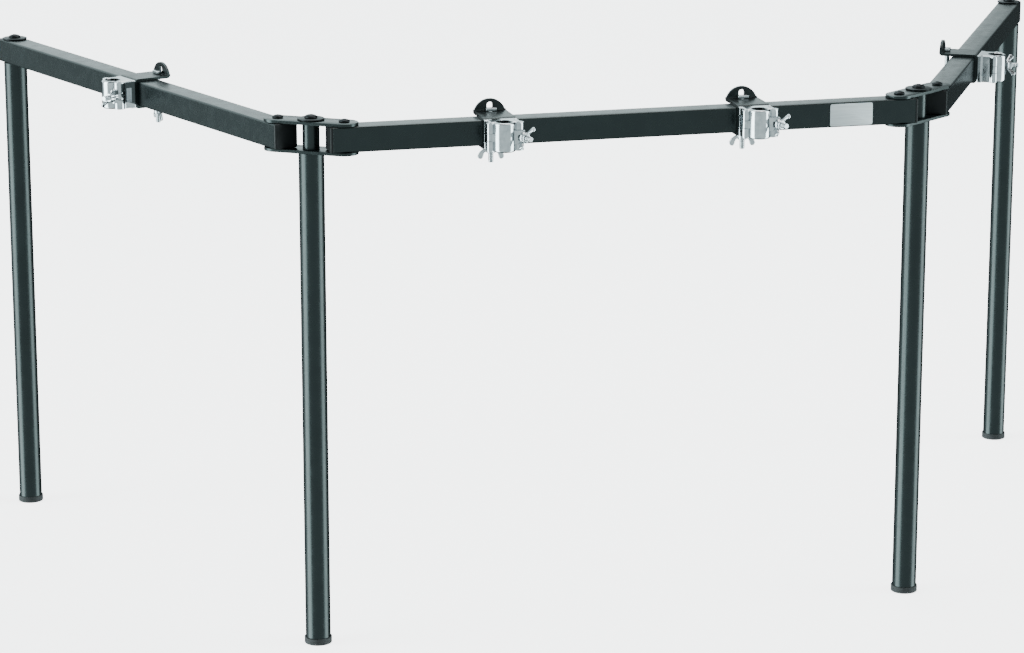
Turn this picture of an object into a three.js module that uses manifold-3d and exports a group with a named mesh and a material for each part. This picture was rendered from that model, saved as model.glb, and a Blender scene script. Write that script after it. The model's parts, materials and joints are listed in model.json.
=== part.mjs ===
import * as THREE from 'three';
import { mergeVertices } from 'three/addons/utils/BufferGeometryUtils.js';
import Module from 'manifold-3d';

const wasm = await Module();
wasm.setup();

// Drum rack frame: three square bars on four round legs, with two double hinges and four pipe clamps.
// Millimetres, +Z up, +X along the centre bar, -Y on the outer side that faces the audience.

// Fits
const clearance = 0.3;
const weldStep = 0.001;

// Bars
const barLength = 914.4;
const barSize = 38.1;
const barWall = 2;
const barCornerRadius = 3;
const pivotInset = 24.6;

// Bar end plugs
const plugHeadThickness = 4;
const plugShankLength = 12;
const plugEdgeRadius = 1.6;

// Legs
const legHeight = 762;
const legDiameter = 38.1;
const legWall = 1.6;
const legCapThickness = 24;

// Rubber feet
const footDiameter = 41.8;
const footHeight = 10;
const footBaseThickness = 4;
const footEdgeRadius = 1.2;

// Hinge plates, spacers and the turns of the rest position
const plateThickness = 4.5;
const plateEndRadius = 21;
const hingePitch = 52.5;
const spacerDiameter = 25.4;
const leftInnerTurn = 33.47;
const leftOuterTurn = 37.19;
const rightInnerTurn = 35.15;
const rightOuterTurn = 24.84;

// Link bolts in the hinges
const linkBoltDiameter = 8;
const linkHeadDiameter = 16.6;
const linkHeadHeight = 4.4;

// Leg bolts with their washer flange
const legBoltDiameter = 10;
const legHeadDiameter = 19.6;
const legHeadHeight = 5.5;
const legFlangeDiameter = 40.4;
const legFlangeThickness = 2.5;
const legBoltGrip = 18;
const boltHeadRimShare = 0.2;

// Blank label on the front of the centre bar
const labelWidth = 68;
const labelHeight = 34;
const labelThickness = 0.5;
const labelFromRightPivot = 84;

// Clamp brackets, bent from strip
const bracketWidth = 50;
const bracketThickness = 4;
const bracketReach = 39;
const bracketInnerBend = 1.5;
const tabHeight = 18;
const tabSlotWidth = 9;
const tabSlotTopMargin = 5;
const tabSlotInset = 14.5;
const spigotDiameter = 6;
const spigotSpacing = 26;

// Clamp jaws, die cast
const jawHeight = 44;
const jawPadThickness = 7;
const jawNeckWidth = 40;
const jawStandOff = 50;
const pipeBoreDiameter = 24;
const jawRingWall = 5.5;
const jawSplit = 0.6;
const pinSpacing = 42;
const pinDiameter = 6;
const pinEndHeight = 1.2;
const hingeLugRadius = 6;
const hingeKnuckleRadius = 5.7;
const lugRadius = 8.5;
const lugHeight = 42;
const knuckleHeight = 11.4;
const knuckleRadius = 8;
const windowHeight = 22;
const windowDepth = 3;
const ringEdge = 3;
const earRadius = 15;
const earHeight = 20;
const earSideReach = 7;
const earInnerReach = 13;

// Eye bolts, tee bolts and wing nuts
const eyeBoltDiameter = 8;
const jawTravel = 8;
const boltEndMargin = 2;
const teeBoltDiameter = 8;
const teeHeadWidth = 16;
const teeHeadDepth = 9;
const teeHeadThickness = 5;
const teeBoltReach = 29;
const teeBoltTail = 30.65;
const nutHubDiameter = 16;
const nutHubTopDiameter = 13;
const jawNutHubHeight = 9;
const jawNutWingHeight = 13.5;
const lockNutHubHeight = 16;
const lockNutWingHeight = 25.5;
const nutWingSpan = 40;
const nutWingWidth = 10;
const nutWingThickness = 3.6;

// Places of the clamps, as a share of the way from the bar's first pivot to its second
const leftClampShare = 0.4881;
const centreLeftClampShare = 0.2648;
const centreRightClampShare = 0.7209;
const rightClampShare = 0.3569;

// Rest turns of the wing nuts and the eye bolts, in degrees
const eyeBoltSwing = 18;
const jawNutTurn = 49;
const lockNutTurn = 10;

// Facet counts
const largeFacets = 24;
const roundFacets = 16;
const smallFacets = 12;
const spigotFacets = 8;
const endFacets = 6;
const arcFacets = 2;
const domeSteps = 3;

// Levels above the floor
const barUnder = legHeight + plateThickness + clearance;
const barTop = barUnder + barSize;
const barMiddle = (barUnder + barTop) / 2;
const topPlateUnder = barTop + clearance;
const hingeBoltSeat = topPlateUnder + plateThickness + clearance;
const pivotSpan = barLength - 2 * pivotInset;

const degrees = Math.PI / 180;

const paint = new THREE.MeshStandardMaterial({ color: 0x232829, roughness: 0.35, metalness: 0.3 });
const boltBlack = new THREE.MeshStandardMaterial({ color: 0x17191a, roughness: 0.4, metalness: 0.6 });
const chrome = new THREE.MeshStandardMaterial({ color: 0xd8dadc, roughness: 0.15, metalness: 1 });
const rubber = new THREE.MeshStandardMaterial({ color: 0x161616, roughness: 0.85, metalness: 0 });
const plastic = new THREE.MeshStandardMaterial({ color: 0x1b1c1d, roughness: 0.5, metalness: 0 });
const silver = new THREE.MeshStandardMaterial({ color: 0xb9bcbe, roughness: 0.35, metalness: 0.7 });

// Turns a closed geometry into a solid that can be joined and cut
function toSolid(geometry) {
  const plain = geometry.clone();
  plain.deleteAttribute('normal');
  plain.deleteAttribute('uv');
  const welded = mergeVertices(plain, weldStep);
  const points = welded.attributes.position.array;
  const source = welded.index.array;
  const faces = [];
  let volume = 0;
  const a = new THREE.Vector3();
  const b = new THREE.Vector3();
  const c = new THREE.Vector3();
  for (let i = 0; i < source.length; i += 3) {
    const [p, q, r] = [source[i], source[i + 1], source[i + 2]];
    if (p === q || q === r || r === p) continue;
    faces.push([p, q, r]);
    a.fromArray(points, 3 * p);
    b.fromArray(points, 3 * q);
    c.fromArray(points, 3 * r);
    volume += a.dot(b.cross(c));
  }
  const outward = volume > 0 ? faces : faces.map(([p, q, r]) => [p, r, q]);
  return new wasm.Manifold(new wasm.Mesh({
    numProp: 3,
    vertProperties: new Float32Array(points),
    triVerts: new Uint32Array(outward.flat()),
  }));
}

function toGeometry(solid) {
  const mesh = solid.getMesh();
  const geometry = new THREE.BufferGeometry();
  const points = new Float32Array(mesh.numVert * 3);
  for (let i = 0; i < mesh.numVert; i += 1) {
    for (let k = 0; k < 3; k += 1) {
      points[3 * i + k] = mesh.vertProperties[mesh.numProp * i + k];
    }
  }
  geometry.setAttribute('position', new THREE.BufferAttribute(points, 3));
  geometry.setIndex(Array.from(mesh.triVerts));
  const flat = geometry.toNonIndexed();
  flat.computeVertexNormals();
  return flat;
}

// Upright cylinder between two levels, with its axis at x, y
function rod(radius, from, to, x, y, facets) {
  const geometry = new THREE.CylinderGeometry(radius, radius, to - from, facets);
  geometry.rotateX(Math.PI / 2);
  geometry.translate(x, y, (from + to) / 2);
  return toSolid(geometry);
}

// Cylinder along Y between two depths, with its axis at x, z
function crossRod(radius, from, to, x, z, facets) {
  const geometry = new THREE.CylinderGeometry(radius, radius, to - from, facets);
  geometry.translate(x, (from + to) / 2, z);
  return toSolid(geometry);
}

function block(x0, x1, y0, y1, z0, z1) {
  const geometry = new THREE.BoxGeometry(x1 - x0, y1 - y0, z1 - z0);
  geometry.translate((x0 + x1) / 2, (y0 + y1) / 2, (z0 + z1) / 2);
  return toSolid(geometry);
}

// Outline raised between two levels
function prism(outline, from, to) {
  const geometry = new THREE.ExtrudeGeometry(outline, {
    depth: to - from,
    bevelEnabled: false,
    curveSegments: arcFacets,
  });
  geometry.translate(0, 0, from);
  return geometry;
}

// Profile of [radius, height] pairs turned about Z
function turned(profile, facets) {
  const geometry = new THREE.LatheGeometry(profile.map(([r, h]) => new THREE.Vector2(r, h)), facets);
  geometry.rotateX(Math.PI / 2);
  return toSolid(geometry);
}

function roundedSquare(size, radius) {
  const half = size / 2;
  const inner = half - radius;
  const outline = new THREE.Shape();
  outline.moveTo(-inner, -half);
  outline.lineTo(inner, -half);
  outline.absarc(inner, -inner, radius, -Math.PI / 2, 0, false);
  outline.lineTo(half, inner);
  outline.absarc(inner, inner, radius, 0, Math.PI / 2, false);
  outline.lineTo(-inner, half);
  outline.absarc(-inner, inner, radius, Math.PI / 2, Math.PI, false);
  outline.lineTo(-half, -inner);
  outline.absarc(-inner, -inner, radius, Math.PI, 1.5 * Math.PI, false);
  return outline;
}

// Slot outline from one end centre to the other along the first axis
function slotOutline(from, to, radius, arcSteps) {
  const outline = new THREE.Shape();
  const corners = [];
  for (let i = 0; i <= arcSteps; i += 1) {
    const turn = -Math.PI / 2 + Math.PI * i / arcSteps;
    corners.push([to + radius * Math.cos(turn), radius * Math.sin(turn)]);
  }
  for (let i = 0; i <= arcSteps; i += 1) {
    const turn = Math.PI / 2 + Math.PI * i / arcSteps;
    corners.push([from + radius * Math.cos(turn), radius * Math.sin(turn)]);
  }
  outline.setFromPoints(corners.map(([x, y]) => new THREE.Vector2(x, y)));
  return outline;
}

function addPiece(parent, name, solid, material) {
  const mesh = new THREE.Mesh(toGeometry(solid), material);
  mesh.name = name;
  parent.add(mesh);
  return mesh;
}

// Square tube along X; holes is a list of [place, diameter] drilled down through it
function barSolid(holes) {
  const outline = roundedSquare(barSize, barCornerRadius);
  outline.holes.push(roundedSquare(barSize - 2 * barWall, barCornerRadius - barWall));
  const start = plugHeadThickness + clearance - pivotInset;
  const geometry = prism(outline, start, start + barLength - 2 * (plugHeadThickness + clearance));
  geometry.rotateY(Math.PI / 2);
  geometry.translate(0, 0, barMiddle);
  let tube = toSolid(geometry);
  for (const [place, diameter] of holes) {
    const radius = diameter / 2 + clearance;
    tube = tube.subtract(rod(radius, barUnder - barWall, barTop + barWall, place, 0, smallFacets));
  }
  return tube;
}

// End plug with its head at the origin, pointing along +X
function plugSolid() {
  const head = new THREE.ExtrudeGeometry(roundedSquare(barSize - 2 * plugEdgeRadius, barCornerRadius), {
    depth: plugHeadThickness - plugEdgeRadius,
    bevelEnabled: true,
    bevelThickness: plugEdgeRadius,
    bevelSize: plugEdgeRadius,
    bevelSegments: arcFacets,
    curveSegments: arcFacets,
  });
  head.rotateY(Math.PI / 2);
  const bore = barSize - 2 * (barWall + clearance);
  const shank = prism(roundedSquare(bore, barWall), -plugShankLength, plugHeadThickness / 2);
  shank.rotateY(Math.PI / 2);
  const cap = toSolid(head).intersect(block(0, 2 * barSize, -barSize, barSize, -barSize, barSize));
  return cap.add(toSolid(shank));
}

function addPlug(parent, name, place, outward) {
  const plug = addPiece(parent, name, plugSolid(), plastic);
  plug.position.set(place, 0, barMiddle);
  plug.rotation.y = outward > 0 ? 0 : Math.PI;
}

function addBar(parent, name, holes, plugNames) {
  addPiece(parent, name, barSolid(holes), paint);
  addPlug(parent, plugNames[0], plugHeadThickness - pivotInset, -1);
  addPlug(parent, plugNames[1], pivotSpan + pivotInset - plugHeadThickness, 1);
}

// Leg tube with a closed, drilled top, and its rubber foot
function addLeg(parent, name, place, top) {
  const outer = legDiameter / 2;
  const inner = outer - legWall;
  const hole = legBoltDiameter / 2 + clearance;
  const bottom = footBaseThickness + clearance;
  const tube = turned([
    [inner, bottom],
    [outer, bottom],
    [outer, top],
    [hole, top],
    [hole, top - legCapThickness],
    [inner, top - legCapThickness],
    [inner, bottom],
  ], largeFacets);
  const leg = addPiece(parent, `${name}_leg`, tube, paint);
  leg.position.set(place, 0, 0);
  const cupOuter = footDiameter / 2;
  const cupInner = outer + clearance;
  const cup = turned([
    [0, 0],
    [cupOuter - footEdgeRadius, 0],
    [cupOuter, footEdgeRadius],
    [cupOuter, footHeight],
    [cupInner, footHeight],
    [cupInner, footBaseThickness],
    [0, footBaseThickness],
  ], largeFacets);
  const foot = addPiece(parent, `${name}_foot`, cup, rubber);
  foot.position.set(place, 0, 0);
}

// Dome-head bolt with its seat at height zero
function boltSolid(shank, length, head, headHeight, flange, flangeHeight) {
  const profile = [
    [0, -length],
    [shank / 2, -length],
    [shank / 2, 0],
  ];
  if (flangeHeight > 0) {
    profile.push([flange / 2, 0]);
    profile.push([flange / 2, flangeHeight]);
  }
  const rim = flangeHeight + headHeight * boltHeadRimShare;
  profile.push([head / 2, flangeHeight]);
  for (let i = 0; i < domeSteps; i += 1) {
    const turn = Math.PI / 2 * i / domeSteps;
    const rise = (flangeHeight + headHeight - rim) * Math.sin(turn);
    profile.push([head / 2 * Math.cos(turn), rim + rise]);
  }
  profile.push([0, flangeHeight + headHeight]);
  return turned(profile, roundFacets);
}

function addLegBolt(parent, name, place, seat, legTop) {
  const length = seat - legTop + legBoltGrip;
  const solid = boltSolid(legBoltDiameter, length, legHeadDiameter, legHeadHeight,
    legFlangeDiameter, legFlangeThickness);
  addPiece(parent, name, solid, boltBlack).position.set(place, 0, seat);
}

// Two plates, a spacer, two link bolts and the inner leg; the bar pivot is the origin
function addHinge(parent, side, turn) {
  const hinge = new THREE.Group();
  hinge.rotation.z = turn;
  parent.add(hinge);
  const armPivot = 2 * hingePitch;
  const plate = (under) => {
    let solid = toSolid(prism(slotOutline(0, armPivot, plateEndRadius, endFacets), under,
      under + plateThickness));
    const cut = (place, diameter) => {
      const radius = diameter / 2 + clearance;
      const above = under + 2 * plateThickness;
      solid = solid.subtract(rod(radius, under - plateThickness, above, place, 0, smallFacets));
    };
    cut(0, linkBoltDiameter);
    cut(armPivot, linkBoltDiameter);
    cut(hingePitch, legBoltDiameter);
    return solid;
  };
  addPiece(hinge, `${side}_hinge_bottom_plate`, plate(legHeight), paint);
  addPiece(hinge, `${side}_hinge_top_plate`, plate(topPlateUnder), paint);
  const bore = legBoltDiameter / 2 + clearance;
  const spacer = turned([
    [bore, barUnder],
    [spacerDiameter / 2, barUnder],
    [spacerDiameter / 2, barTop],
    [bore, barTop],
    [bore, barUnder],
  ], roundFacets);
  addPiece(hinge, `${side}_hinge_spacer`, spacer, paint).position.set(hingePitch, 0, 0);
  const linkLength = hingeBoltSeat - legHeight - clearance;
  for (const [end, place] of [['inner', 0], ['outer', armPivot]]) {
    const solid = boltSolid(linkBoltDiameter, linkLength, linkHeadDiameter, linkHeadHeight, 0, 0);
    const bolt = addPiece(hinge, `${side}_hinge_${end}_link_bolt`, solid, boltBlack);
    bolt.position.set(place, 0, hingeBoltSeat);
  }
  const legTop = legHeight - clearance;
  addLeg(hinge, `${side}_inner`, hingePitch, legTop);
  addLegBolt(hinge, `${side}_inner_leg_bolt`, hingePitch, hingeBoltSeat, legTop);
  return hinge;
}

// Side bar with its plugs, outer leg and leg bolt; the hinge pivot is the origin
function addArm(hinge, side, turn) {
  const arm = new THREE.Group();
  arm.position.x = 2 * hingePitch;
  arm.rotation.z = turn;
  hinge.add(arm);
  const holes = [[0, linkBoltDiameter], [pivotSpan, legBoltDiameter]];
  addBar(arm, `${side}_bar`, holes, [`${side}_bar_inner_plug`, `${side}_bar_outer_plug`]);
  const legTop = barUnder - clearance;
  addLeg(arm, `${side}_outer`, pivotSpan, legTop);
  addLegBolt(arm, `${side}_outer_leg_bolt`, pivotSpan, barTop + clearance, legTop);
  return arm;
}

// Clamp frame: x to the right as seen from outside, y inward, z up, origin on the bar axis
const gripInner = barSize / 2 + clearance;
const gripOuter = gripInner + bracketThickness;
const jawSeat = gripOuter + clearance;
const pinX = pinSpacing / 2;
const jawHalf = jawHeight / 2;
const knuckleHalf = knuckleHeight / 2;
const frontLimit = jawStandOff + jawSplit / 2;

function bracketSolid() {
  const bend = bracketInnerBend + bracketThickness;
  const reach = bracketReach;
  const tabFace = reach - bracketThickness;
  const tabTop = gripOuter + tabHeight;
  const outline = new THREE.Shape();
  outline.moveTo(reach, -gripOuter);
  outline.lineTo(reach, -gripInner);
  outline.lineTo(bracketInnerBend - gripInner, -gripInner);
  outline.absarc(bracketInnerBend - gripInner, bracketInnerBend - gripInner, bracketInnerBend,
    -Math.PI / 2, -Math.PI, true);
  outline.lineTo(-gripInner, gripInner - bracketInnerBend);
  outline.absarc(bracketInnerBend - gripInner, gripInner - bracketInnerBend, bracketInnerBend,
    Math.PI, Math.PI / 2, true);
  outline.lineTo(reach - bend, gripInner);
  outline.absarc(reach - bend, gripInner + bend, bend, -Math.PI / 2, 0, false);
  outline.lineTo(reach, tabTop);
  outline.lineTo(tabFace, tabTop);
  outline.lineTo(tabFace, gripOuter + bracketInnerBend);
  outline.absarc(tabFace - bracketInnerBend, gripOuter + bracketInnerBend, bracketInnerBend,
    0, -Math.PI / 2, true);
  outline.lineTo(bend - gripOuter, gripOuter);
  outline.absarc(bend - gripOuter, gripOuter - bend, bend, Math.PI / 2, Math.PI, false);
  outline.lineTo(-gripOuter, bend - gripOuter);
  outline.absarc(bend - gripOuter, bend - gripOuter, bend, Math.PI, 1.5 * Math.PI, false);
  const strip = prism(outline, -bracketWidth / 2, bracketWidth / 2);
  strip.rotateX(Math.PI / 2);
  strip.rotateZ(Math.PI / 2);
  let solid = toSolid(strip);
  const round = bracketWidth / 2;
  const wide = bracketWidth;
  const tabCentre = tabTop - round;
  const tabWaste = block(-wide, wide, tabFace - clearance, reach + clearance,
    gripOuter + bracketInnerBend, tabTop + bracketThickness)
    .subtract(crossRod(round, tabFace - bracketThickness, reach + bracketThickness, 0, tabCentre,
      largeFacets));
  solid = solid.subtract(tabWaste);
  const flangeCentre = reach - round;
  const flangeWaste = block(-wide, wide, flangeCentre, reach + bracketThickness,
    -gripOuter - clearance, -gripInner + clearance)
    .subtract(rod(round, -gripOuter - bracketThickness, 0, 0, flangeCentre, largeFacets));
  solid = solid.subtract(flangeWaste);
  const slotRadius = tabSlotWidth / 2;
  const slotTop = tabTop - tabSlotTopMargin - slotRadius;
  const tabSlot = prism(slotOutline(gripInner, slotTop, slotRadius, endFacets),
    -reach - bracketThickness, -tabFace + bracketInnerBend);
  tabSlot.rotateZ(Math.PI / 2);
  tabSlot.rotateX(Math.PI / 2);
  solid = solid.subtract(toSolid(tabSlot));
  const flangeSlot = prism(slotOutline(reach - tabSlotInset + slotRadius, reach + tabSlotInset, slotRadius,
    endFacets), gripInner - bracketThickness, gripOuter + bracketInnerBend);
  flangeSlot.rotateZ(Math.PI / 2);
  solid = solid.subtract(toSolid(flangeSlot));
  const boltHole = teeBoltDiameter / 2 + clearance;
  solid = solid.subtract(rod(boltHole, -gripOuter - bracketThickness, 0, 0, teeBoltReach, smallFacets));
  for (const side of [-1, 1]) {
    const hole = crossRod(spigotDiameter / 2 + clearance, -gripOuter - clearance, clearance - gripInner,
      0, side * spigotSpacing / 2, spigotFacets);
    solid = solid.subtract(hole);
  }
  return solid;
}

// Back half of the clamp: pad, neck, half bore, four lugs and the two pins pressed in them
function rearJawSolid() {
  const padBack = -jawSeat;
  const padFront = padBack - jawPadThickness;
  const half = bracketWidth / 2;
  let solid = block(-half, half, padFront, padBack, -jawHalf, jawHalf);
  const neck = jawNeckWidth / 2;
  solid = solid.add(block(-neck, neck, jawSplit / 2 - jawStandOff, padBack, -jawHalf, jawHalf));
  const across = (from, to, side, y0, y1, halfHeight) => block(Math.min(side * from, side * to),
    Math.max(side * from, side * to), y0, y1, -halfHeight, halfHeight);
  const slack = knuckleHalf + clearance;
  const eyes = [[-1, hingeLugRadius, hingeKnuckleRadius], [1, lugRadius, knuckleRadius]];
  for (const [side, lug, knuckle] of eyes) {
    const outside = pinX + lug + clearance;
    solid = solid.add(rod(lug, -lugHeight / 2, lugHeight / 2, side * pinX, -jawStandOff, roundFacets));
    solid = solid.add(across(pinX - lug / 2, pinX + lug / 2, side, -jawStandOff, padBack - clearance,
      lugHeight / 2));
    solid = solid.subtract(rod(knuckle + clearance, -slack, slack, side * pinX, -jawStandOff, roundFacets));
    solid = solid.subtract(across(pinX - clearance, outside, side, -2 * jawStandOff,
      -jawStandOff + knuckle + clearance, slack));
    solid = solid.subtract(across(neck - windowDepth, outside, side, -jawStandOff + lug + clearance,
      padFront, windowHeight / 2));
  }
  solid = solid.subtract(block(-2 * pinX, 2 * pinX, -2 * jawStandOff, jawSplit / 2 - jawStandOff,
    -knuckleHalf - clearance, knuckleHalf + clearance));
  solid = solid.subtract(rod(pipeBoreDiameter / 2, -jawHeight, jawHeight, 0, -jawStandOff, largeFacets));
  const pinHalf = lugHeight / 2 + pinEndHeight;
  for (const side of [-1, 1]) {
    solid = solid.add(rod(pinDiameter / 2, -pinHalf, pinHalf, side * pinX, -jawStandOff, smallFacets));
    solid = solid.add(crossRod(spigotDiameter / 2, padBack - clearance, -gripInner - clearance,
      0, side * spigotSpacing / 2, spigotFacets));
  }
  return solid;
}

// Front half of the clamp: half ring, slim hinge knuckle on the left, forked ear on the right
function frontJawSolid() {
  const bore = pipeBoreDiameter / 2;
  const ring = bore + jawRingWall;
  const body = turned([
    [0, -jawHalf],
    [ring - ringEdge, -jawHalf],
    [ring, ringEdge - jawHalf],
    [ring, jawHalf - ringEdge],
    [ring - ringEdge, jawHalf],
    [0, jawHalf],
  ], largeFacets).translate([0, -jawStandOff, 0]);
  const ear = rod(earRadius, -earHeight / 2, earHeight / 2, pinX, -jawStandOff, roundFacets)
    .intersect(block(pinX - earInnerReach, pinX + earSideReach, -jawStandOff - earRadius * 2,
      -frontLimit - clearance, -jawHalf, jawHalf));
  let solid = body.add(ear);
  solid = solid.subtract(block(-2 * pinX, 2 * pinX, -frontLimit, 0, -jawHeight, jawHeight));
  for (const [side, lug] of [[-1, hingeLugRadius], [1, lugRadius]]) {
    solid = solid.subtract(rod(lug + clearance, -jawHeight, jawHeight, side * pinX, -jawStandOff,
      roundFacets));
  }
  const web = block(-pinX, -bore - clearance, -jawStandOff - hingeLugRadius - clearance * 2, -frontLimit,
    -knuckleHalf, knuckleHalf);
  solid = solid.add(rod(hingeKnuckleRadius, -knuckleHalf, knuckleHalf, -pinX, -jawStandOff, roundFacets));
  solid = solid.add(web);
  solid = solid.subtract(rod(bore, -jawHeight, jawHeight, 0, -jawStandOff, largeFacets));
  const pinHole = pinDiameter / 2 + clearance;
  solid = solid.subtract(rod(pinHole, -jawHalf, jawHalf, -pinX, -jawStandOff, smallFacets));
  const slotHalf = eyeBoltDiameter / 2 + clearance;
  solid = solid.subtract(block(pinX - slotHalf, 2 * pinX, -jawStandOff - 2 * earRadius, -jawStandOff,
    -slotHalf, slotHalf));
  return solid;
}

// Eye bolt with its eye at the origin, pointing outward along -Y
function eyeBoltSolid() {
  const length = earRadius + clearance + jawNutHubHeight + jawTravel + boltEndMargin;
  return rod(knuckleRadius, -knuckleHalf, knuckleHalf, 0, 0, roundFacets)
    .add(crossRod(eyeBoltDiameter / 2, -length, 0, 0, 0, smallFacets))
    .subtract(rod(pinDiameter / 2 + clearance, -jawHalf, jawHalf, 0, 0, smallFacets));
}

// Wing nut with its seat at the origin, pointing along +Z
function wingNutSolid(bolt, hubHeight, wingHeight) {
  const bore = bolt / 2 + clearance;
  const hub = turned([
    [bore, 0],
    [nutHubDiameter / 2, 0],
    [nutHubTopDiameter / 2, hubHeight],
    [bore, hubHeight],
    [bore, 0],
  ], roundFacets);
  const tip = nutWingSpan / 2;
  const tipRadius = nutWingWidth / 2;
  const foot = hubHeight - nutWingWidth * 0.8;
  let wings = hub;
  for (const side of [-1, 1]) {
    const outline = new THREE.Shape();
    outline.moveTo(side * bore, foot);
    outline.lineTo(side * nutHubDiameter / 2, foot);
    outline.lineTo(side * (tip - tipRadius * 0.3), wingHeight - tipRadius * 1.7);
    outline.lineTo(side * tip, wingHeight - tipRadius);
    outline.lineTo(side * (tip - tipRadius * 0.2), wingHeight - tipRadius * 0.3);
    outline.lineTo(side * (tip - tipRadius * 0.8), wingHeight);
    outline.lineTo(side * (tip - tipRadius * 1.6), wingHeight - tipRadius * 0.2);
    outline.lineTo(side * nutHubTopDiameter / 2, hubHeight - clearance);
    outline.lineTo(side * bore, hubHeight - clearance);
    const wing = prism(outline, -nutWingThickness / 2, nutWingThickness / 2);
    wing.rotateX(Math.PI / 2);
    wings = wings.add(toSolid(wing));
  }
  return wings.subtract(rod(bore, -hubHeight, 2 * hubHeight, 0, 0, roundFacets));
}

function teeBoltSolid() {
  const seat = gripOuter + clearance;
  return rod(teeBoltDiameter / 2, -gripOuter - teeBoltTail, seat + teeHeadThickness / 2, 0, 0, smallFacets)
    .add(block(-teeHeadWidth / 2, teeHeadWidth / 2, -teeHeadDepth / 2, teeHeadDepth / 2,
      seat, seat + teeHeadThickness));
}

function addClamp(parent, name, share, turn) {
  const clamp = new THREE.Group();
  clamp.position.set(share * pivotSpan, 0, barMiddle);
  clamp.rotation.z = turn;
  parent.add(clamp);
  addPiece(clamp, `${name}_bracket`, bracketSolid(), paint);
  addPiece(clamp, `${name}_rear_jaw`, rearJawSolid(), chrome);
  addPiece(clamp, `${name}_front_jaw`, frontJawSolid(), chrome);
  const swing = new THREE.Group();
  swing.position.set(pinX, -jawStandOff, 0);
  swing.rotation.z = eyeBoltSwing * degrees;
  clamp.add(swing);
  addPiece(swing, `${name}_eye_bolt`, eyeBoltSolid(), chrome);
  const jawNut = addPiece(swing, `${name}_jaw_wing_nut`,
    wingNutSolid(eyeBoltDiameter, jawNutHubHeight, jawNutWingHeight), chrome);
  jawNut.position.set(0, -earRadius - clearance, 0);
  jawNut.rotation.set(Math.PI / 2, 0, jawNutTurn * degrees);
  addPiece(clamp, `${name}_tee_bolt`, teeBoltSolid(), chrome).position.set(0, teeBoltReach, 0);
  const lockNut = addPiece(clamp, `${name}_lock_wing_nut`,
    wingNutSolid(teeBoltDiameter, lockNutHubHeight, lockNutWingHeight), chrome);
  lockNut.position.set(0, teeBoltReach, -gripOuter - clearance);
  lockNut.rotation.set(Math.PI, 0, lockNutTurn * degrees);
}

const rack = new THREE.Group();

const centre = new THREE.Group();
rack.add(centre);
addBar(centre, 'centre_bar', [[0, linkBoltDiameter], [pivotSpan, linkBoltDiameter]],
  ['centre_bar_left_plug', 'centre_bar_right_plug']);
const labelX = pivotSpan - labelFromRightPivot;
const labelBack = -barSize / 2 - clearance;
addPiece(centre, 'label_plate', block(labelX - labelWidth / 2, labelX + labelWidth / 2,
  labelBack - labelThickness, labelBack, barMiddle - labelHeight / 2,
  barMiddle + labelHeight / 2), silver);
addClamp(centre, 'centre_left_clamp', centreLeftClampShare, 0);
addClamp(centre, 'centre_right_clamp', centreRightClampShare, 0);

const leftHinge = addHinge(rack, 'left', Math.PI - leftInnerTurn * degrees);
const leftArm = addArm(leftHinge, 'left', -leftOuterTurn * degrees);
addClamp(leftArm, 'left_clamp', leftClampShare, Math.PI);

const rightPivot = new THREE.Group();
rightPivot.position.x = pivotSpan;
rack.add(rightPivot);
const rightHinge = addHinge(rightPivot, 'right', rightInnerTurn * degrees);
const rightArm = addArm(rightHinge, 'right', rightOuterTurn * degrees);
addClamp(rightArm, 'right_clamp', rightClampShare, 0);

// Puts the middle of the footprint at the origin
const group = new THREE.Group();
group.add(rack);
group.updateMatrixWorld(true);
const box = new THREE.Box3().setFromObject(rack);
rack.position.set(-(box.min.x + box.max.x) / 2, -(box.min.y + box.max.y) / 2, -box.min.z);

export default group;
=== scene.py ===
# %% [markdown]
# # A drum rack frame
# The real object is a free-standing rack of square steel tube. It stands on four round legs and
# carries chrome pipe clamps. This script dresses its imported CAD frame: the frame gives every place,
# and each piece is built again here with round edges, threads and real finishes.

import json
import math

import bmesh
import bpy
from mathutils import Matrix, Vector

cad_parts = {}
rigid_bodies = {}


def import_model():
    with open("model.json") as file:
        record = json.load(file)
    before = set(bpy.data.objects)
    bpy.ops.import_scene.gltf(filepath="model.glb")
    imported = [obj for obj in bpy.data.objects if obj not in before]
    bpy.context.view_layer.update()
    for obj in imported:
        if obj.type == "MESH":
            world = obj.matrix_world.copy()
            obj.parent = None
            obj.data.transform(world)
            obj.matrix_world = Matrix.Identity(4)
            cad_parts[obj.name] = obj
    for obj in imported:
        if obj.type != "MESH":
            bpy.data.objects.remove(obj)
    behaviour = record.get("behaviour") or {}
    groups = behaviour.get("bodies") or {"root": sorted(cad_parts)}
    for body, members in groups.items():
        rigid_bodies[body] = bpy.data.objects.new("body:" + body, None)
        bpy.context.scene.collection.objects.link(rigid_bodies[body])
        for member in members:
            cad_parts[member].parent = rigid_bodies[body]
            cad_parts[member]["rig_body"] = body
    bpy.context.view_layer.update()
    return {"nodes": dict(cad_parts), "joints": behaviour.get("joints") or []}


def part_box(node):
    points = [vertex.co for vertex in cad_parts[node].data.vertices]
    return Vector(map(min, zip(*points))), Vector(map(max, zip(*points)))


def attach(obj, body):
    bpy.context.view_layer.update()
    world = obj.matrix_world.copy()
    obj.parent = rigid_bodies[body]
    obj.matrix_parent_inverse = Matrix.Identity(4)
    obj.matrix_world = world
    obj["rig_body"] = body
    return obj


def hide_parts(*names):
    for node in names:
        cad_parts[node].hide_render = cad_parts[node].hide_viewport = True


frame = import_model()
joints = {entry["name"]: entry for entry in frame["joints"]}

# %% [markdown]
# Every piece is drawn in millimetres in its own simple frame: a bar along X, a bolt along Z. A
# matrix then carries it to its place in metres. The places come from the frame's joints and boxes,
# so that a piece always sits where its pivot is. The other way would be to type coordinates, and
# those drift when the frame changes.

# %% Places of the bars, hinges and clamps
MM = 0.001
UP = Vector((0, 0, 1))


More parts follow.
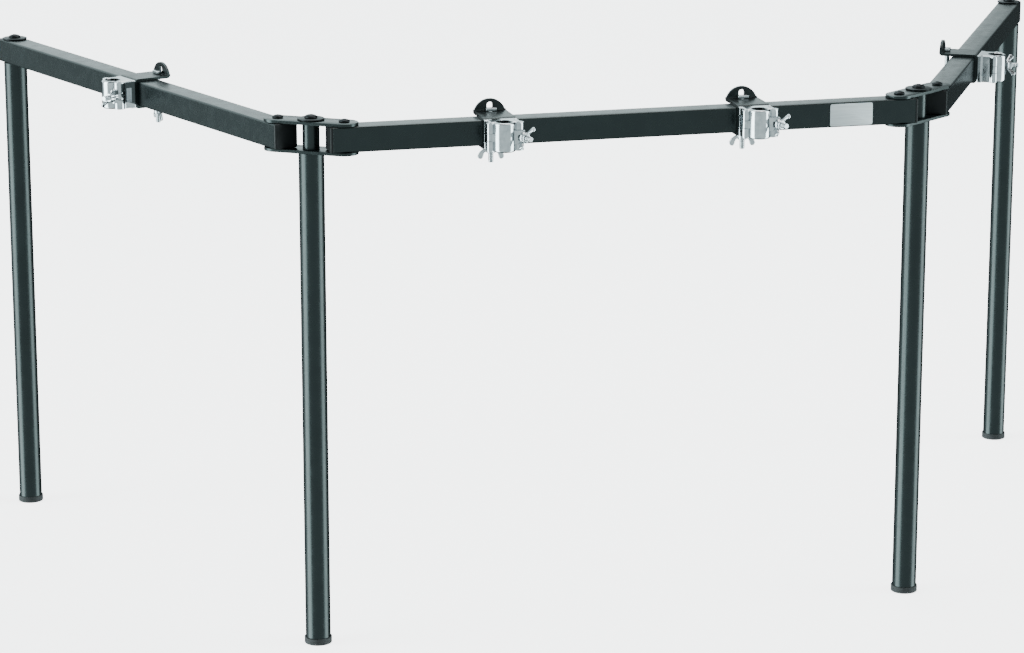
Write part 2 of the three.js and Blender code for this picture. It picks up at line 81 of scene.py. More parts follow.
def frame_at(origin, along):
    """Matrix from millimetres, with X along a level direction and Z up, to the row frame."""
    x = Vector((along.x, along.y, 0)).normalized()
    turn = Matrix((x, UP.cross(x), UP)).transposed().to_4x4()
    return Matrix.Translation(origin) @ turn @ Matrix.Scale(MM, 4)


def joint_point(name):
    x, y, _ = joints[name]["pos_m"]
    return Vector((x, y, 0))


def middle(node):
    low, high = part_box(node)
    return Vector(((low[0] + high[0]) / 2, (low[1] + high[1]) / 2, 0))


PIVOTS = {
    "centre": joint_point("left_hinge_turn"),
    "centre_end": joint_point("right_hinge_turn"),
    "left": joint_point("left_arm_turn"),
    "right": joint_point("right_arm_turn"),
}
BAR_FRAMES = {
    "centre": frame_at(PIVOTS["centre"], PIVOTS["centre_end"] - PIVOTS["centre"]),
    "left": frame_at(PIVOTS["left"], middle("left_outer_leg") - PIVOTS["left"]),
    "right": frame_at(PIVOTS["right"], middle("right_outer_leg") - PIVOTS["right"]),
}
HINGE_FRAMES = {
    "left": frame_at(PIVOTS["centre"], PIVOTS["left"] - PIVOTS["centre"]),
    "right": frame_at(PIVOTS["centre_end"], PIVOTS["right"] - PIVOTS["centre_end"]),
}
print("centre bar pivots:", round((PIVOTS["centre_end"] - PIVOTS["centre"]).length, 4), "m apart")

# %% [markdown]
# The sizes below are the real ones, in millimetres. The bars are 1.5 inch square tube, 36 inches
# long, and the hinge plates stand 30 inches above the floor. Pieces that touch keep a gap of 0.3
# mm, and holes are given by their radius, for M8 bolts at the pivots and M10 bolts in the legs.

# %% Sizes
BAR_LENGTH = 914.4
BAR = 38.1
PIVOT_INSET = 24.6
PIVOT_SPAN = BAR_LENGTH - 2 * PIVOT_INSET
GAP = 0.3
LEG_HEIGHT = 762.0
PLATE = 4.5
HINGE_PITCH = 52.5
PIVOT_HOLE = 4.3
LEG_BOLT_HOLE = 5.3
BAR_UNDER = LEG_HEIGHT + PLATE + GAP
BAR_TOP = BAR_UNDER + BAR
BAR_MIDDLE = (BAR_UNDER + BAR_TOP) / 2
TOP_PLATE_UNDER = BAR_TOP + GAP
BOLT_SEAT = TOP_PLATE_UNDER + PLATE + GAP
print("bars:", round(BAR_UNDER, 1), "to", round(BAR_TOP, 1), "mm above the floor")

# %% [markdown]
# ## Drawing tools
# Most pieces of a rack are turned, drawn through a die or bent from strip. So the basic tools are a
# lathe for turned shapes and a loft that skins a row of outlines. Both give clean quads that take
# smooth shading, which a boolean of cylinders does not.

# %% Loft
def new_object(label, data):
    thing = bpy.data.objects.new(label, data)
    bpy.context.scene.collection.objects.link(thing)
    return thing


def bridge(bm, first, second):
    """Skins two rings of points; a ring of one point is a pole."""
    count = max(len(first), len(second))
    for i in range(count):
        j = (i + 1) % count
        corners = []
        for ring, k in ((first, i), (first, j), (second, j), (second, i)):
            point = ring[k % len(ring)]
            if point not in corners:
                corners.append(point)
        bm.faces.new(corners)


def new_piece(bm, label):
    """Object of a finished mesh, with its faces pointing outwards."""
    bmesh.ops.recalc_face_normals(bm, faces=bm.faces)
    mesh = bpy.data.meshes.new(label)
    bm.to_mesh(mesh)
    bm.free()
    return new_object(label, mesh)


def loft(rings, label, closed=False):
    """Skins a row of rings; an open row gets a flat face at each end."""
    bm = bmesh.new()
    made = [[bm.verts.new(point) for point in ring] for ring in rings]
    for first, second in zip(made, made[1:]):
        bridge(bm, first, second)
    if closed:
        bridge(bm, made[-1], made[0])
    else:
        for ring in (made[0], made[-1]):
            if len(ring) > 2:
                bm.faces.new(ring)
    return new_piece(bm, label)


# %% Lathe
def circle(radius, steps, x=0, y=0):
    turns = [2 * math.pi * i / steps for i in range(steps)]
    return [(x + radius * math.cos(a), y + radius * math.sin(a)) for a in turns]


def turned_ring(radius, height, steps):
    """Ring of a turned shape; on the axis it is one point."""
    return [(x, y, height) for x, y in circle(radius, steps if radius > 0 else 1)]


def lathe(profile, label, steps=64, closed=False):
    """Turns (radius, height) pairs about Z. A closed profile is a ring with a bore."""
    return loft([turned_ring(radius, height, steps) for radius, height in profile], label, closed)


def round_corner(centre, radius, start, end, steps):
    """Points of an arc in a profile, in degrees."""
    turns = [math.radians(start + (end - start) * i / steps) for i in range(steps + 1)]
    return [(centre[0] + radius * math.cos(a), centre[1] + radius * math.sin(a)) for a in turns]


# %% Cutting, joining and softening
def settle(piece):
    """Puts what the modifiers do into the mesh and takes them off."""
    bpy.context.view_layer.update()
    graph = bpy.context.evaluated_depsgraph_get()
    mesh = bpy.data.meshes.new_from_object(piece.evaluated_get(graph))
    old = piece.data
    piece.modifiers.clear()
    piece.data = mesh
    bpy.data.meshes.remove(old)
    return piece


def discard(piece):
    mesh = piece.data
    bpy.data.objects.remove(piece)
    bpy.data.meshes.remove(mesh)


def moved(piece, x=0, y=0, z=0):
    piece.data.transform(Matrix.Translation((x, y, z)))
    return piece


def combine(piece, tools, operation):
    """Boolean of a piece with each tool; the tools are used up."""
    for tool in tools:
        step = piece.modifiers.new("step", "BOOLEAN")
        step.operation = operation
        step.solver = "EXACT"
        step.object = tool
    settle(piece)
    for tool in tools:
        discard(tool)
    return piece


def cut(piece, *tools):
    return combine(piece, tools, "DIFFERENCE")


def joined(piece, *others):
    """One object of several meshes, without a boolean."""
    bm = bmesh.new()
    for source in (piece,) + others:
        bm.from_mesh(source.data)
    bm.to_mesh(piece.data)
    bm.free()
    for source in others:
        discard(source)
    return piece


def cast(piece, voxel, passes):
    """Melts overlapping shapes into one body with the soft inner corners of a casting."""
    melt = piece.modifiers.new("melt", "REMESH")
    melt.mode = "VOXEL"
    melt.voxel_size = voxel
    melt.adaptivity = 0
    smooth = piece.modifiers.new("smooth", "SMOOTH")
    smooth.factor = 0.5
    smooth.iterations = passes
    return settle(piece)


def broken_edges(piece, width, degrees=40, segments=2):
    """Rounds the sharp edges by a small real radius."""
    bevel = piece.modifiers.new("bevel", "BEVEL")
    bevel.width = width
    bevel.segments = segments
    bevel.limit_method = "ANGLE"
    bevel.angle_limit = math.radians(degrees)
    bevel.use_clamp_overlap = True
    return settle(piece)


# %% Simple stock shapes
def rod(radius, low, high, x=0, y=0, steps=48):
    """Round bar along Z, from low to high."""
    ring = circle(radius, steps, x, y)
    return loft([[(px, py, h) for px, py in ring] for h in (low, high)], "rod")


def cross_rod(radius, near, far, z, steps):
    """Round bar along Y, from near to far."""
    ring = circle(radius, steps, 0, z)
    return loft([[(px, depth, pz) for px, pz in ring] for depth in (near, far)], "cross_rod")


def block(x, y, z):
    """Box from three (low, high) pairs."""
    low, high = z
    corners = [(x[0], y[0]), (x[1], y[0]), (x[1], y[1]), (x[0], y[1])]
    return loft([[(px, py, h) for px, py in corners] for h in (low, high)], "block")


def slab(outline, low, high, edge=0.0):
    """Plate of an outline between two levels; edge rounds its rim, and needs a convex outline."""
    if edge == 0:
        return loft([[(x, y, h) for x, y in outline] for h in (low, high)], "slab")
    centre_x = sum(x for x, _ in outline) / len(outline)
    centre_y = sum(y for _, y in outline) / len(outline)
    reach = max(math.hypot(x - centre_x, y - centre_y) for x, y in outline)

    def shrunk(amount):
        share = 1 - amount / reach
        return [(centre_x + (x - centre_x) * share, centre_y + (y - centre_y) * share)
                for x, y in outline]

    rings = []
    for turn in (0, 30, 60, 90):
        inset = edge * (1 - math.sin(math.radians(turn)))
        lift = edge * (1 - math.cos(math.radians(turn)))
        rings.append([(x, y, low + lift) for x, y in shrunk(inset)])
    rings += [[(x, y, low + high - h) for x, y, h in ring] for ring in reversed(rings)]
    return loft(rings, "slab")


def rounded_rectangle(width, height, radius):
    points = []
    for side, up, start in ((1, 1, 0), (-1, 1, 90), (-1, -1, 180), (1, -1, 270)):
        centre = (side * (width / 2 - radius), up * (height / 2 - radius))
        points += round_corner(centre, radius, start, start + 90, 6)
    return points


def rounded_square(size, radius):
    """Outline of a drawn square tube, as (y, z) pairs."""
    return rounded_rectangle(size, size, radius)


def stadium(start, end, radius, steps):
    """Outline with a half circle at both ends, along X."""
    right = round_corner((end, 0), radius, -90, 90, steps)
    return right + round_corner((start, 0), radius, 90, 270, steps)


# %% [markdown]
# ## Finishes
# Each finish starts from what it really is. One function turns an sRGB hex colour to linear, and
# one small function adds a node with its settings and links. Patterns read Object coordinates, in
# metres, so their scale is one over a real size. No finish is even, so each has three patterns: one
# for the colour, one for the roughness and one for the bump, whose distance is a real height.

# %% Colour and node helpers
def srgb(code):
    """Linear colour of a hex code such as 1f2425."""
    values = [int(code[i:i + 2], 16) / 255 for i in (0, 2, 4)]
    linear = [v / 12.92 if v <= 0.04045 else ((v + 0.055) / 1.055) ** 2.4 for v in values]
    return (*linear, 1.0)


def add_node(tree, kind, inputs=None, feeds=None, stops=(), **settings):
    """Adds a node. Inputs maps a socket's name or number to a value or to another node's output.
    Feeds is a socket that takes the node's first output. Stops are a ramp's two (place, hex)."""
    node = tree.nodes.new(kind)
    for key, value in settings.items():
        setattr(node, key, value)
    for key, value in (inputs or {}).items():
        if isinstance(value, bpy.types.NodeSocket):
            tree.links.new(value, node.inputs[key])
        else:
            node.inputs[key].default_value = value
    if feeds:
        tree.links.new(node.outputs[0], feeds)
    if stops:
        for element, (where, code) in zip(node.color_ramp.elements, stops):
            element.position = where
            element.color = srgb(code)
    return node


def per_mm(size):
    """Texture scale whose features are about that many millimetres across."""
    return 1 / (size * MM)


def new_finish(name, **shader_values):
    """A material with its shader; the values go on the shader's own sockets."""
    material = bpy.data.materials.new(name)
    material.use_nodes = True
    tree = material.node_tree
    tree.nodes.clear()
    shader = add_node(tree, "ShaderNodeBsdfPrincipled")
    for key, value in shader_values.items():
        shader.inputs[key.replace("_", " ")].default_value = value
    add_node(tree, "ShaderNodeOutputMaterial", {"Surface": shader.outputs["BSDF"]})
    place = add_node(tree, "ShaderNodeTexCoord").outputs["Object"]
    return material, tree, shader, place


def uneven_surface(tree, shader, place, tone, colours, wear, gloss, grain, relief):
    """Makes a finish uneven. Tone, wear and grain are patterns: a node's output, or a noise's size
    in millimetres, detail and roughness. Tone picks between two (place, hex) colours. Wear gives
    the roughness: gloss is its low and high end and the part of the pattern that they span.
    Relief is the grain's height in millimetres and its strength."""
    patterns = []
    for pattern in (tone, wear, grain):
        if isinstance(pattern, tuple):
            size, detail, roughness = pattern
            pattern = add_node(tree, "ShaderNodeTexNoise", {
                "Vector": place, "Scale": per_mm(size), "Detail": detail,
                "Roughness": roughness}).outputs["Fac"]
        patterns.append(pattern)
    tone, wear, grain = patterns
    low, high, start, end = gloss
    height, strength = relief
    add_node(tree, "ShaderNodeValToRGB", {"Fac": tone}, feeds=shader.inputs["Base Color"],
             stops=colours)
    add_node(tree, "ShaderNodeMapRange", {
        "Value": wear, "From Min": start, "From Max": end, "To Min": low, "To Max": high},
        feeds=shader.inputs["Roughness"])
    add_node(tree, "ShaderNodeBump", {
        "Height": grain, "Distance": height * MM, "Strength": strength},
        feeds=shader.inputs["Normal"])


# %% [markdown]
# Bars, legs and hinge plates are mild steel with a baked powder coat: a near-black with a cool cast
# and a satin gloss. Powder melts into a faint orange peel, with dimples of about 2 mm, and handling
# leaves patches that are a little duller. The peel is real bump, and the patches are roughness.

# %% Powder coat
def powder_coat(name, dark, light, gloss, dimple):
    material, tree, shader, place = new_finish(name, Metallic=0.0, IOR=1.5,
                                               Specular_Tint=(0.86, 1.0, 0.99, 1.0))
    uneven_surface(tree, shader, place, tone=(60, 4, 0.5), colours=((0.3, dark), (0.75, light)),
                   wear=(14, 5, 0.6), gloss=(gloss - 0.04, gloss + 0.08, 0.3, 0.75),
                   grain=(dimple, 1.5, 0.5), relief=(0.03, 0.08))
    return material


coat = powder_coat("black_powder_coat", "0a0e0f", "111617", 0.25, 2.2)
bracket_coat = powder_coat("black_bracket_coat", "090b0c", "101314", 0.27, 1.6)
print("paints:", coat.name, "and", bracket_coat.name)

# %% [markdown]
# Bolts and washers are steel with black oxide, a thin converted skin. It is darker than paint in
# the light and shows the metal's own sheen, so it is metallic with a very dark colour.

# %% Black oxide
black_oxide, tree, shader, place = new_finish("black_oxide_steel", Metallic=0.85)
uneven_surface(tree, shader, place, tone=(6, 4, 0.5), colours=((0.3, "17191a"), (0.8, "26292b")),
               wear=(2.5, 4, 0.5), gloss=(0.3, 0.46, 0, 1),
               grain=(0.8, 2, 0.5), relief=(0.02, 0.4))
print("bolts:", black_oxide.name)

# %% [markdown]
# The clamp jaws are die-cast zinc under bright chrome. Chrome mirrors the room, and the casting
# under it is slightly wavy, so its reflections wobble. The waves are about 8 mm long, and fine
# polish marks only change the roughness.

# %% Chrome and plated steel
def plated(name, dark, light, low, high, wave, wave_height):
    material, tree, shader, place = new_finish(name, Metallic=1.0)
    uneven_surface(tree, shader, place, tone=(9, 3, 0.5), colours=((0.3, dark), (0.7, light)),
                   wear=(1.6, 5, 0.65), gloss=(low, high, 0.3, 0.7),
                   grain=(wave, 2, 0.5), relief=(wave_height, 0.5))
    return material


chrome = plated("bright_chrome_casting", "c9cdd0", "e4e7e9", 0.06, 0.15, 8, 0.1)
plated_steel = plated("zinc_plated_steel", "c6cacd", "e2e5e7", 0.12, 0.26, 3, 0.05)
print("clamps:", chrome.name, "and", plated_steel.name)

# %% [markdown]
# The feet are moulded rubber: a matt dark grey-black that scatters light at a glance, with a fine
# grain from the mould and dust near the floor.

# %% Rubber
rubber, tree, shader, place = new_finish("moulded_rubber", IOR=1.5, Sheen_Weight=0.15,
                                         Sheen_Roughness=0.5)
height = add_node(tree, "ShaderNodeSeparateXYZ", {0: place}).outputs["Z"]
near_floor = add_node(tree, "ShaderNodeMapRange", {
    "Value": height, "From Max": 9 * MM, "To Min": 1, "To Max": 0})
specks = add_node(tree, "ShaderNodeTexNoise", {"Vector": place, "Scale": per_mm(3), "Detail": 4})
dust = add_node(tree, "ShaderNodeMath", {
    0: near_floor.outputs["Result"], 1: specks.outputs["Fac"]}, operation="MULTIPLY")
uneven_surface(tree, shader, place, tone=dust.outputs[0],
               colours=((0.1, "191a1b"), (0.7, "2c2d2d")), wear=(2, 4, 0.5),
               gloss=(0.62, 0.82, 0, 1), grain=(0.7, 2, 0.5), relief=(0.05, 0.6))
print("feet:", rubber.name)

# %% [markdown]
# The end plugs are moulded polyethylene, smoother than rubber and a bit waxy. They return little
# light, so their specular level is low.

# %% Polyethylene
polyethylene, tree, shader, place = new_finish("moulded_polyethylene", IOR=1.51,
                                               Specular_IOR_Level=0.3)
uneven_surface(tree, shader, place, tone=(12, 3, 0.5), colours=((0.3, "08090a"), (0.8, "0e1011")),
               wear=(3, 4, 0.5), gloss=(0.42, 0.58, 0, 1),
               grain=(0.9, 2, 0.5), relief=(0.03, 0.4))
print("end plugs:", polyethylene.name)

# %% [markdown]
# The label is a thin aluminium foil plate, brushed along its length. Brushing stretches the noise:
# 30 mm long and 0.4 mm wide, drawn about twice as coarse as the real scratches so that it shows.

# %% Brushed foil
foil, tree, shader, place = new_finish("brushed_aluminium_foil", Metallic=1.0)
brushing = add_node(tree, "ShaderNodeMapping", {
    "Vector": place, "Scale": (per_mm(30), per_mm(2), per_mm(0.4))})
scratches = add_node(tree, "ShaderNodeTexNoise", {
    "Vector": brushing.outputs["Vector"], "Scale": 1.0, "Detail": 4.0}).outputs["Fac"]
uneven_surface(tree, shader, place, tone=scratches, colours=((0.25, "c3c6c8"), (0.75, "eceeef")),
               wear=scratches, gloss=(0.38, 0.6, 0, 1), grain=scratches, relief=(0.01, 0.4))
print("finishes:", len(bpy.data.materials))

# %% [markdown]
# ## Finishing a piece
# A finished piece has smooth shading with its real edges kept sharp, a finish, a CAD body to ride
# on, and the node that it stands for. Its object stays at the origin and its place is in its mesh.

# %% Finish a piece
piece_count = 0


def finish_piece(piece, node, matrix, material, sharp=35):
    """Puts a piece in place for its CAD node and gives it its finish and its body."""
    global piece_count
    piece.data.transform(matrix)
    piece.data.materials.clear()
    piece.data.materials.append(material)
    for polygon in piece.data.polygons:
        polygon.use_smooth = True
        polygon.material_index = 0
    piece.data.set_sharp_from_angle(angle=math.radians(sharp))
    piece.data.update()
    piece.name = f"{node}_dressed"
    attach(piece, frame["nodes"][node]["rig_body"])
    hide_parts(node)
    piece_count += 1


# %% [markdown]
# ## Bars
# A bar is drawn square tube, saw cut and closed by a pressed plastic plug at each end. It is lofted
# from the rounded square of the die, with its bore, so the corners keep their true 3 mm radius, and
# the bolt holes are cut through it. The plug's head is as wide as the tube, with its rim rounded
# over.

# %% Bars and plugs
BAR_WALL = 2.0
BAR_CORNER = 3.0
SAW_EDGE = 0.3
PLUG_HEAD = 4.0
PLUG_SHANK = 10.0
PLUG_ROUND = 1.8


def bar_piece(holes):
    start = PLUG_HEAD + GAP - PIVOT_INSET
    end = start + BAR_LENGTH - 2 * (PLUG_HEAD + GAP)
    outside = rounded_square(BAR, BAR_CORNER)
    trimmed = rounded_square(BAR - 2 * SAW_EDGE, BAR_CORNER - SAW_EDGE)
    inside = rounded_square(BAR - 2 * BAR_WALL, BAR_CORNER - BAR_WALL)
    rings = [(start, trimmed), (start + SAW_EDGE, outside), (end - SAW_EDGE, outside),
             (end, trimmed), (end, inside), (start, inside)]
    skin = [[(x, y, BAR_MIDDLE + z) for y, z in ring] for x, ring in rings]
    tube = loft(skin, "bar", closed=True)
    tools = [rod(radius, BAR_UNDER - 5, BAR_TOP + 5, x) for x, radius in holes]
    return cut(tube, *tools)


def plug_piece(face, outward):
    """Plug with its outer face at x = face; outward is +1 or -1 along X."""
    rings = []
    for turn in (90, 60, 30, 0):
        inset = PLUG_ROUND * (1 - math.cos(math.radians(turn)))
        depth = PLUG_ROUND * (1 - math.sin(math.radians(turn)))
        rings.append((depth, rounded_square(BAR - 2 * inset, BAR_CORNER)))
    rings.append((PLUG_HEAD, rounded_square(BAR, BAR_CORNER)))
    shank, lead_in = BAR - 2 * (BAR_WALL + GAP), 2
    tip = PLUG_HEAD + PLUG_SHANK
    for depth, size in ((PLUG_HEAD, shank), (tip, shank), (tip + lead_in, shank - lead_in)):
        rings.append((depth, rounded_square(size, 1.5)))
    skin = [[(face - outward * depth, y, BAR_MIDDLE + z) for y, z in ring] for depth, ring in rings]
    return loft(skin, "plug")


BAR_HOLES = {
    "centre": [(0, PIVOT_HOLE), (PIVOT_SPAN, PIVOT_HOLE)],
    "left": [(0, PIVOT_HOLE), (PIVOT_SPAN, LEG_BOLT_HOLE)],
    "right": [(0, PIVOT_HOLE), (PIVOT_SPAN, LEG_BOLT_HOLE)],
}
PLUG_NAMES = {"centre": ("left", "right"), "left": ("inner", "outer"), "right": ("inner", "outer")}
for side, matrix in BAR_FRAMES.items():
    finish_piece(bar_piece(BAR_HOLES[side]), f"{side}_bar", matrix, coat)
    first, second = PLUG_NAMES[side]
    for end, face, outward in ((first, -PIVOT_INSET, -1), (second, PIVOT_SPAN + PIVOT_INSET, 1)):
        finish_piece(plug_piece(face, outward), f"{side}_bar_{end}_plug", matrix, polyethylene)
print("bars and plugs:", piece_count)

# %% [markdown]
# ## Legs and feet
# Legs are round tube with a threaded plug welded in the top. The feet are rubber cups. Both are
# turned shapes, so the lathe makes them, with the small radii that a cut tube and a moulding have.
# The cup has two shallow grip grooves.

# %% Legs and feet
LEG = 38.1
LEG_WALL = 1.6
LEG_CAP = 24.0
FOOT_RADIUS = 20.9
FOOT_HEIGHT = 10.0
FOOT_FLOOR = 4.0
GRIP_GROOVES = (3.4, 5.8)


def leg_piece(top):
    outer = LEG / 2
    inner = outer - LEG_WALL
    bottom = FOOT_FLOOR + GAP
    profile = [(inner, bottom), (outer - 0.4, bottom), (outer, bottom + 0.4)]
    profile += [(outer, bottom + (top - bottom) * share) for share in (0.25, 0.5, 0.75)]
    profile += [(outer, top - 0.5), (outer - 0.5, top), (LEG_BOLT_HOLE, top),
                (LEG_BOLT_HOLE, top - LEG_CAP), (inner, top - LEG_CAP)]
    return lathe(profile, "leg", 96, closed=True)


def foot_piece():
    outer, inner = FOOT_RADIUS, LEG / 2 + GAP
    profile = [(0, 0), (outer - 1.4, 0)]
    profile += round_corner((outer - 1.2, 1.2), 1.2, -90, 0, 5)[1:]
    for level in GRIP_GROOVES:
        groove = outer - 0.5
        profile += [(outer, level), (groove, level + 0.35), (groove, level + 0.75),
                    (outer, level + 1.1)]
    profile += round_corner((outer - 0.7, FOOT_HEIGHT - 0.7), 0.7, 0, 90, 4)
    profile += [(inner + 0.2, FOOT_HEIGHT), (inner, FOOT_HEIGHT - 0.2), (inner, FOOT_FLOOR),
                (0, FOOT_FLOOR)]
    return lathe(profile, "foot", 96)


def upright(node):
    return Matrix.Translation(middle(node)) @ Matrix.Scale(MM, 4)


for side in ("left", "right"):
    for end, top in (("inner", LEG_HEIGHT - GAP), ("outer", BAR_UNDER - GAP)):
        leg, foot = f"{side}_{end}_leg", f"{side}_{end}_foot"
        finish_piece(leg_piece(top), leg, upright(leg), coat)
        finish_piece(foot_piece(), foot, upright(foot), rubber)
print("with legs and feet:", piece_count)

# %% [markdown]
# ## Hinges
# Each hinge is two laser-cut plates with a spacer on the leg axis between them. A bar pivots at
# each end of the plates. The plates have round ends and tumbled edges, rounded by 0.7 mm.

# %% Hinge plates and spacers
PLATE_END = 21.0
PLATE_EDGE = 0.7
SPACER_RADIUS = 12.7


def plate_piece(under):
    outline = stadium(0, 2 * HINGE_PITCH, PLATE_END, 40)
    plate = slab(outline, under, under + PLATE, PLATE_EDGE)
    holes = ((0, PIVOT_HOLE), (HINGE_PITCH, LEG_BOLT_HOLE), (2 * HINGE_PITCH, PIVOT_HOLE))
    return cut(plate, *[rod(radius, under - 2, under + PLATE + 2, x) for x, radius in holes])


def spacer_piece():
    outer, edge = SPACER_RADIUS, 0.4
    profile = [(LEG_BOLT_HOLE, BAR_UNDER), (outer - edge, BAR_UNDER), (outer, BAR_UNDER + edge),
               (outer, BAR_TOP - edge), (outer - edge, BAR_TOP), (LEG_BOLT_HOLE, BAR_TOP)]
    return lathe(profile, "spacer", 64, closed=True)


for side, matrix in HINGE_FRAMES.items():
    pieces = {"bottom_plate": plate_piece(LEG_HEIGHT), "top_plate": plate_piece(TOP_PLATE_UNDER),
              "spacer": moved(spacer_piece(), HINGE_PITCH)}
    for part, piece in pieces.items():
        finish_piece(piece, f"{side}_hinge_{part}", matrix, coat)
print("with hinges:", piece_count)

# %% [markdown]
# ## Bolts
# The bolts are button-head socket screws: a low dome with a hexagonal socket. The turned rings of a
# lathe make the dome, and the socket's rings follow a hexagon instead of a circle. The leg bolts
# clamp a wide washer with rounded rims.

# %% Button-head bolts
def hexagon_ring(across_flats, height, steps):
    ring = []
    for i in range(steps):
        a = 2 * math.pi * i / steps
        reach = across_flats / 2 / math.cos((a % (math.pi / 3)) - math.pi / 6)
        ring.append((reach * math.cos(a), reach * math.sin(a), height))
    return ring


def bolt_piece(shank, length, head, head_height, socket, flange=0.0, flange_height=0.0):
    """Button-head bolt with its seat at height zero; flange is a washer's diameter."""
    steps = 72
    top = flange_height + head_height
    profile = [(shank / 2 - 0.8, -length), (shank / 2, 0.8 - length), (shank / 2, 0)]
    if flange > 0:
        profile += [(flange / 2 - 0.5, 0), (flange / 2, 0.5), (flange / 2, flange_height - 0.7)]
        profile += [(flange / 2 - 0.25, flange_height - 0.2), (flange / 2 - 0.8, flange_height)]
        profile += [(head / 2 + 0.25, flange_height), (head / 2 - 0.15, flange_height + 0.25)]
    profile += [(head / 2 - 0.1, flange_height + 0.3), (head / 2, flange_height + 0.9)]
    rim = flange_height + head_height * 0.28
    for turn in range(0, 70, 10):
        a = math.radians(turn)
        profile.append((head / 2 * math.cos(a), rim + (top - rim) * math.sin(a)))
    rings = [turned_ring(radius, level, steps) for radius, level in [(0, -length)] + profile]
    depth = head_height * 0.6
    rings.append(hexagon_ring(socket + 0.5, top - 0.12, steps))
    rings.append(hexagon_ring(socket, top - 0.4, steps))
    rings.append(hexagon_ring(socket, top - depth, steps))
    rings.append([(0, 0, top - depth - 0.6)])
    return loft(rings, "bolt")


LINK_BOLT = {"shank": 8, "head": 16.6, "head_height": 4.4, "socket": 5}
LEG_BOLT = {"shank": 10, "head": 19.6, "head_height": 5.5, "socket": 6, "flange": 40.4,
            "flange_height": 2.5}
THREAD_IN_LEG = 18


def fit_bolt(bolt, node, row, x, seat):
    """Puts a bolt at x along a bar or hinge, with its head on the seat."""
    finish_piece(moved(bolt, x, 0, seat), node, row, black_oxide, 50)


for side, matrix in HINGE_FRAMES.items():
    for end, x in (("inner", 0), ("outer", 2 * HINGE_PITCH)):
        bolt = bolt_piece(length=BOLT_SEAT - LEG_HEIGHT - GAP, **LINK_BOLT)
        fit_bolt(bolt, f"{side}_hinge_{end}_link_bolt", matrix, x, BOLT_SEAT)
    bolt = bolt_piece(length=BOLT_SEAT - LEG_HEIGHT + GAP + THREAD_IN_LEG, **LEG_BOLT)
    fit_bolt(bolt, f"{side}_inner_leg_bolt", matrix, HINGE_PITCH, BOLT_SEAT)
    seat = BAR_TOP + GAP
    bolt = bolt_piece(length=seat - BAR_UNDER + GAP + THREAD_IN_LEG, **LEG_BOLT)
    fit_bolt(bolt, f"{side}_outer_leg_bolt", BAR_FRAMES[side], PIVOT_SPAN, seat)
print("with bolts:", piece_count)

# %% [markdown]
# ## Threads
# A rolled thread follows a helix. It follows a rule, so Geometry Nodes make it, with its sizes as
# named inputs. The result is turned into a plain mesh, because a live modifier would not survive
# the export.

# %% Thread tree
def new_tree(name, numbers):
    """Geometry node tree with named size inputs, a material input and one geometry output."""
    tree = bpy.data.node_groups.new(name, "GeometryNodeTree")
    tree.interface.new_socket("Geometry", in_out="OUTPUT", socket_type="NodeSocketGeometry")
    for label, value in numbers.items():
        size = tree.interface.new_socket(label, in_out="INPUT", socket_type="NodeSocketFloat")
        size.default_value = value
    tree.interface.new_socket("Finish", in_out="INPUT", socket_type="NodeSocketMaterial")
    return tree, add_node(tree, "NodeGroupInput").outputs


RIDGE_SHARE = 0.62  # radius of the round ridge, as a share of the thread's depth
thread_tree, sizes = new_tree("rolled_thread", {
    "Outer Radius": 4.0, "Pitch": 1.25, "Length": 20.0, "Depth": 0.7})
results = {}
for name, operation, first, second in (
        ("ridge", "MULTIPLY", sizes["Depth"], RIDGE_SHARE),
        ("turns", "DIVIDE", sizes["Length"], sizes["Pitch"]),
        ("core length", "ADD", sizes["Length"], sizes["Pitch"]),
        ("half way", "MULTIPLY", sizes["Length"], 0.5)):
    step = add_node(thread_tree, "ShaderNodeMath", {0: first, 1: second}, operation=operation)
    results[name] = step.outputs[0]
root = add_node(thread_tree, "ShaderNodeMath", {0: sizes["Outer Radius"], 1: results["ridge"]},
                operation="SUBTRACT").outputs[0]
helix = add_node(thread_tree, "GeometryNodeCurveSpiral", {
    "Resolution": 24, "Rotations": results["turns"], "Start Radius": root, "End Radius": root,
    "Height": sizes["Length"]})
ridge = add_node(thread_tree, "GeometryNodeCurvePrimitiveCircle", {
    "Resolution": 6, "Radius": results["ridge"]})
coil = add_node(thread_tree, "GeometryNodeCurveToMesh", {
    "Curve": helix.outputs["Curve"], "Profile Curve": ridge.outputs["Curve"], "Fill Caps": True})
core = add_node(thread_tree, "GeometryNodeMeshCylinder", {
    "Vertices": 32, "Radius": root, "Depth": results["core length"]})
lift = add_node(thread_tree, "ShaderNodeCombineXYZ", {"Z": results["half way"]})
raised = add_node(thread_tree, "GeometryNodeTransform", {
    "Geometry": core.outputs["Mesh"], "Translation": lift.outputs["Vector"]})
screw = add_node(thread_tree, "GeometryNodeJoinGeometry")
for shape in (raised.outputs["Geometry"], coil.outputs["Mesh"]):
    thread_tree.links.new(shape, screw.inputs["Geometry"])
real = add_node(thread_tree, "GeometryNodeRealizeInstances", {
    "Geometry": screw.outputs["Geometry"]})
plated_screw = add_node(thread_tree, "GeometryNodeSetMaterial", {
    "Geometry": real.outputs["Geometry"], "Material": sizes["Finish"]})
add_node(thread_tree, "NodeGroupOutput", {"Geometry": plated_screw.outputs["Geometry"]})


def grown(tree, label, finish, **values):
    """Runs a tree with its inputs set and keeps the result as a plain mesh."""
    piece = new_object(label, bpy.data.meshes.new(label))
    modifier = piece.modifiers.new(label, "NODES")
    modifier.node_group = tree
    wanted = {key.replace("_", " "): value for key, value in values.items()}
    for item in tree.interface.items_tree:
        if item.item_type == "SOCKET" and item.in_out == "INPUT":
            if item.name in wanted:
                modifier[item.identifier] = wanted[item.name]
            elif item.name == "Finish":
                modifier[item.identifier] = finish
    return settle(piece)


